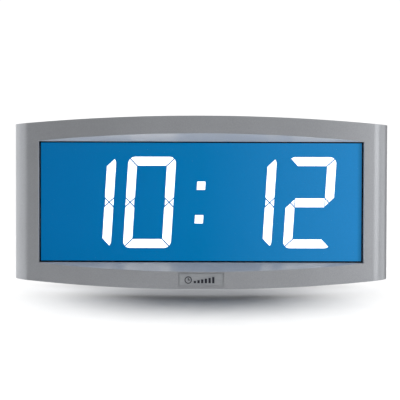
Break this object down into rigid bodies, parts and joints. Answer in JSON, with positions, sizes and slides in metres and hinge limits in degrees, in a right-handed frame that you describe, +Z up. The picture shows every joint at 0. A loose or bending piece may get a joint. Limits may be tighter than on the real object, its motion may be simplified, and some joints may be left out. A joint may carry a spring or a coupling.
{
  "type": "digital wall clock",
  "caption": "Bow-fronted digital wall clock with a wide LCD time display, hung on a hooked steel wall plate, with setting push buttons underneath.",
  "frame": {"origin": "on the wall behind the middle of the case, in the back face of the wall plate", "axes": "+Z up, +X to the right as one faces the display, +Y into the wall, so the display faces -Y"},
  "size_m": [0.283, 0.0519, 0.13],
  "materials": {
    "silver_plastic": "satin metallic-silver moulding",
    "grey_plastic": "fine-grained moulding",
    "plate_steel": "zinc-plated sheet",
    "plated_steel": "zinc-plated",
    "badge_metal": "fine-brushed",
    "clear_acrylic": "clear acrylic",
    "black_print": "matt black print",
    "blue_film": "blue polarising film",
    "display_glass": "polished",
    "white_film": "matt white",
    "white_plastic": "moulded white",
    "rubber": "matt",
    "board_laminate": "solder-masked laminate",
    "chip_black": "moulded epoxy",
    "terminal_green": "moulded green",
    "module_yellow": "potted module",
    "sleeve_blue": "shrunk sleeve",
    "key_plastic": "moulded light grey"
  },
  "bodies": {
    "wall_mount": {"wall_plate": "plate_steel"},
    "clock_case": {"front_bezel": "silver_plastic", "rear_shell": "grey_plastic", "badge_plate": "badge_metal", "window_pane": "clear_acrylic", "display_mask": "black_print", "front_polariser": "blue_film", "lcd_front_glass": "display_glass", "lcd_rear_glass": "display_glass", "rear_polariser": "blue_film", "diffuser_sheet": "white_film", "light_guide": "clear_acrylic", "reflector_sheet": "white_film", "led_strip_left": "white_plastic", "led_strip_right": "white_plastic", "display_frame": "white_plastic", "contact_strip_upper": "rubber", "contact_strip_lower": "rubber", "main_board": "board_laminate", "microcontroller": "chip_black", "display_driver_left": "chip_black", "display_driver_right": "chip_black", "quartz_crystal": "plated_steel", "cell_holder": "chip_black", "backup_cell": "plated_steel", "supply_module": "module_yellow", "smoothing_capacitor": "sleeve_blue", "backlight_inductor": "chip_black", "supply_fuse": "chip_black", "supply_terminal": "terminal_green", "signal_terminal": "terminal_green", "hinge_rod_left": "plated_steel", "hinge_rod_right": "plated_steel", "wiring_cover": "grey_plastic", "cable_grommet": "rubber", "wall_bumper_left": "rubber", "wall_bumper_right": "rubber", "key_board": "board_laminate", "key_header": "chip_black", "key_switch_1": "chip_black", "key_switch_2": "chip_black", "case_screw_1": "plated_steel", "case_screw_2": "plated_steel", "case_screw_3": "plated_steel", "case_screw_4": "plated_steel", "frame_screw_1": "plated_steel", "frame_screw_2": "plated_steel", "frame_screw_3": "plated_steel", "frame_screw_4": "plated_steel", "board_screw_1": "plated_steel", "board_screw_2": "plated_steel", "board_screw_3": "plated_steel", "board_screw_4": "plated_steel", "cover_screw_left": "plated_steel", "cover_screw_right": "plated_steel", "locking_screw": "plated_steel"},
    "setting_button_1": {"button_cap_1": "key_plastic", "switch_plunger_1": "key_plastic"},
    "setting_button_2": {"button_cap_2": "key_plastic", "switch_plunger_2": "key_plastic"}
  },
  "joints": [
    {"name": "case_tilt", "type": "hinge", "parent": "wall_mount", "child": "clock_case", "pos_m": [0, -0.008, 0.037], "axis": [-1, 0, 0], "range_deg": [0, 25]},
    {"name": "button_1_press", "type": "slide", "parent": "clock_case", "child": "setting_button_1", "axis": [0, 0, 1], "range_m": [0, 0.0008], "stiffness_N_per_m": 1800},
    {"name": "button_2_press", "type": "slide", "parent": "clock_case", "child": "setting_button_2", "axis": [0, 0, 1], "range_m": [0, 0.0008], "stiffness_N_per_m": 1800}
  ]
}
